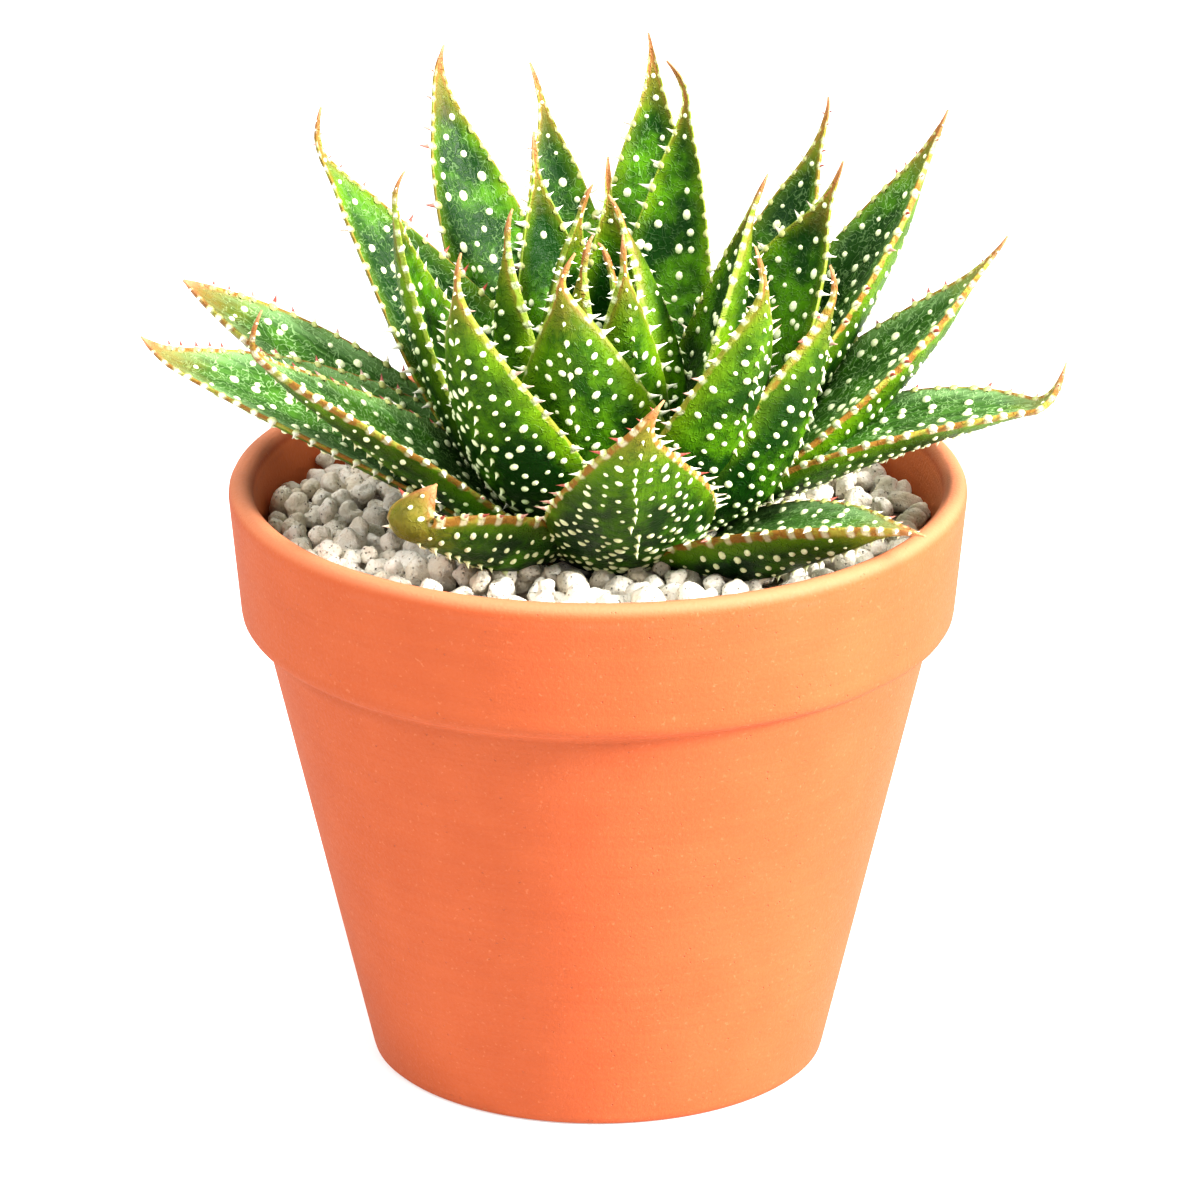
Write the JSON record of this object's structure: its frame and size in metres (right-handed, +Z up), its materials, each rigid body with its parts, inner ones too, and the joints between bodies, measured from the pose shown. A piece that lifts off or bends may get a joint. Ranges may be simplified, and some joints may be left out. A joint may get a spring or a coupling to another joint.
{
  "type": "potted lace aloe",
  "caption": "Lace aloe rosette of thick pointed leaves with white bumps and toothed edges, in a tapered terracotta pot topped with pale gravel.",
  "frame": {"origin": "centre of the pot's foot, on the surface that it stands on", "axes": "+Z up along the pot's axis, -Y towards the side shown in the picture, +X to its right"},
  "size_m": [0.1863, 0.15, 0.2023],
  "materials": {
    "terracotta": "unglazed fired clay, matte",
    "soil": "dark potting mix, matte",
    "gravel": "pale rounded pumice gravel, matte",
    "stem": "dry woody stem, matte",
    "leaf": "waxy green leaf with white bumps and teeth"
  },
  "bodies": {
    "root": {"pot": "terracotta", "soil": "soil", "gravel": "gravel", "stem": "stem", "leaf_01": "leaf", "leaf_02": "leaf", "leaf_03": "leaf", "leaf_04": "leaf", "leaf_05": "leaf", "leaf_06": "leaf", "leaf_07": "leaf", "leaf_08": "leaf", "leaf_09": "leaf", "leaf_10": "leaf", "leaf_11": "leaf", "leaf_12": "leaf", "leaf_13": "leaf", "leaf_14": "leaf", "leaf_15": "leaf", "leaf_16": "leaf", "leaf_17": "leaf", "leaf_18": "leaf", "leaf_19": "leaf", "leaf_20": "leaf", "leaf_21": "leaf", "leaf_22": "leaf", "leaf_23": "leaf", "leaf_24": "leaf", "leaf_25": "leaf", "leaf_26": "leaf", "leaf_27": "leaf", "leaf_28": "leaf", "leaf_29": "leaf", "leaf_30": "leaf", "leaf_31": "leaf", "leaf_32": "leaf", "leaf_33": "leaf", "leaf_34": "leaf", "leaf_35": "leaf", "leaf_36": "leaf", "leaf_37": "leaf", "leaf_38": "leaf", "leaf_39": "leaf"}
  },
  "joints": []
}
